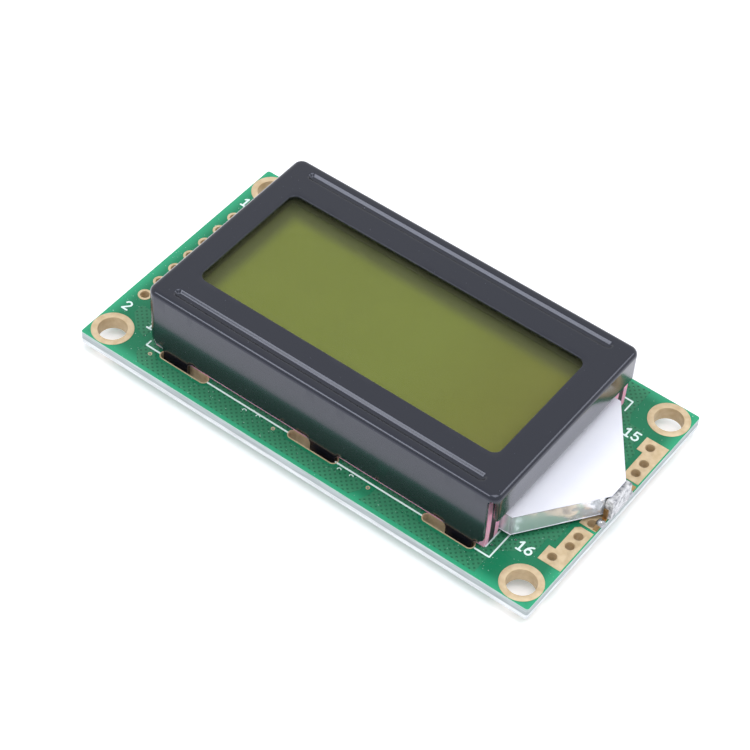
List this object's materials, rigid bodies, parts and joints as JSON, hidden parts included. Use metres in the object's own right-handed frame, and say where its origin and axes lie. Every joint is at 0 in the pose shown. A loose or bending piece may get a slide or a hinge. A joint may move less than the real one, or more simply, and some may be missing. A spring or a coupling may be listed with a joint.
{
  "type": "character lcd module",
  "caption": "Character display module: a side-lit glass cell under a folded black bezel, on a green circuit board with header holes at one end and corner mounting holes.",
  "frame": {"origin": "centre of the four mounting holes, on the underside of the circuit board", "axes": "+X along the board towards the backlight lamp, +Y across the board away from the near long side, +Z out of the display's face"},
  "size_m": [0.0583, 0.032, 0.0115],
  "materials": {
    "solder_mask": "green solder mask over glass-fibre laminate, satin gloss",
    "black_lacquer": "thin satin black lacquer on folded steel sheet",
    "polariser_film": "glossy olive polarising film",
    "display_glass": "clear thin float glass with ground edges",
    "seal_resin": "cured pale seal resin",
    "white_film": "white reflective film",
    "clear_acrylic": "polished clear acrylic",
    "clear_resin": "water-clear casting resin",
    "lead_frame": "plated copper alloy strip",
    "gold_plating": "thin gold over nickel on copper foil",
    "solder": "tin solder, bright and slightly frosted",
    "pink_silicone": "pink silicone sponge, matt",
    "carbon_silicone": "carbon-loaded silicone layers",
    "black_resin": "cured black encapsulating resin",
    "chip_body": "black glazed ceramic chip",
    "chip_ceramic": "tan ceramic chip"
  },
  "bodies": {
    "root": {"backlight_pad_back": "gold_plating", "backlight_pad_front": "gold_plating", "base_reflector": "white_film", "bezel": "black_lacquer", "cell_seal": "seal_resin", "chip_capacitor": "chip_ceramic", "chip_pads": "solder", "chip_resistor_1": "chip_body", "chip_resistor_2": "chip_body", "chip_resistor_3": "chip_body", "chip_resistor_4": "chip_body", "chip_resistor_5": "chip_body", "chip_resistor_6": "chip_body", "chip_resistor_7": "chip_body", "circuit_board": "solder_mask", "contact_fingers_back": "gold_plating", "contact_fingers_front": "gold_plating", "controller_blob": "black_resin", "diffuser_film": "white_film", "fill_plug": "seal_resin", "front_glass": "display_glass", "front_polariser": "polariser_film", "header_plating_inner": "gold_plating", "header_plating_outer": "gold_plating", "lamp": "clear_resin", "lamp_lead_back": "lead_frame", "lamp_lead_front": "lead_frame", "lamp_pad_back": "gold_plating", "lamp_pad_front": "gold_plating", "lamp_solder_back": "solder", "lamp_solder_front": "solder", "light_guide": "clear_acrylic", "mount_ring_back_left": "gold_plating", "mount_ring_back_right": "gold_plating", "mount_ring_front_left": "gold_plating", "mount_ring_front_right": "gold_plating", "rear_glass": "display_glass", "rear_polariser": "polariser_film", "reflector_wrap": "white_film", "slot_lining_back_1": "gold_plating", "slot_lining_back_2": "gold_plating", "slot_lining_back_3": "gold_plating", "slot_lining_front_1": "gold_plating", "slot_lining_front_2": "gold_plating", "slot_lining_front_3": "gold_plating", "strip_core_back": "carbon_silicone", "strip_core_front": "carbon_silicone", "strip_foam_inner_back": "pink_silicone", "strip_foam_inner_front": "pink_silicone", "strip_foam_outer_back": "pink_silicone", "strip_foam_outer_front": "pink_silicone"}
  },
  "joints": []
}
